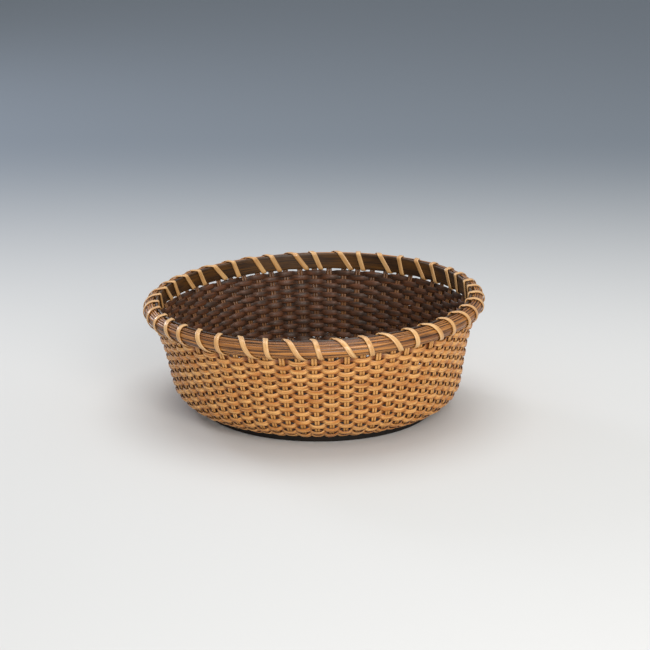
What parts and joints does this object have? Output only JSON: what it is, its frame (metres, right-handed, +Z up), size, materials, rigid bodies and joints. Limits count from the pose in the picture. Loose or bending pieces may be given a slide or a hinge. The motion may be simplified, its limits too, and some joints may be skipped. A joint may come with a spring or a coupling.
{
  "type": "woven fruit basket",
  "caption": "Low round basket of plain-woven split cane on a dark wooden base board, with a thick lashed rim and an open bowl for fruit or bread.",
  "frame": {"origin": "on the floor, under the middle of the base board", "axes": "+Z up along the basket's round axis, out of its mouth; +X and +Y across it"},
  "size_m": [0.3, 0.3, 0.102],
  "materials": {
    "stained_board": "black stain, satin",
    "stake_cane": "clear varnish, semi-gloss",
    "weaver_cane": "clear varnish, semi-gloss",
    "hoop_cane": "clear varnish, semi-gloss",
    "rim_cane": "clear varnish, gloss",
    "lashing_cane": "clear varnish, gloss"
  },
  "bodies": {
    "root": {"base_board": "stained_board", "stake_cage": "stake_cane", "weaver_row_01": "weaver_cane", "weaver_row_02": "weaver_cane", "weaver_row_03": "weaver_cane", "weaver_row_04": "weaver_cane", "weaver_row_05": "weaver_cane", "weaver_row_06": "weaver_cane", "weaver_row_07": "weaver_cane", "weaver_row_08": "weaver_cane", "weaver_row_09": "weaver_cane", "weaver_row_10": "weaver_cane", "weaver_row_11": "weaver_cane", "weaver_row_12": "weaver_cane", "weaver_row_13": "weaver_cane", "weaver_row_14": "weaver_cane", "weaver_row_15": "weaver_cane", "weaver_row_16": "weaver_cane", "weaver_row_17": "weaver_cane", "weaver_row_18": "weaver_cane", "weaver_row_19": "weaver_cane", "weaver_row_20": "weaver_cane", "weaver_row_21": "weaver_cane", "weaver_row_22": "weaver_cane", "inner_hoop": "hoop_cane", "rim_strip_1": "rim_cane", "rim_strip_2": "rim_cane", "rim_strip_3": "rim_cane", "rim_strip_4": "rim_cane", "rim_strip_5": "rim_cane", "lashing": "lashing_cane"}
  },
  "joints": []
}
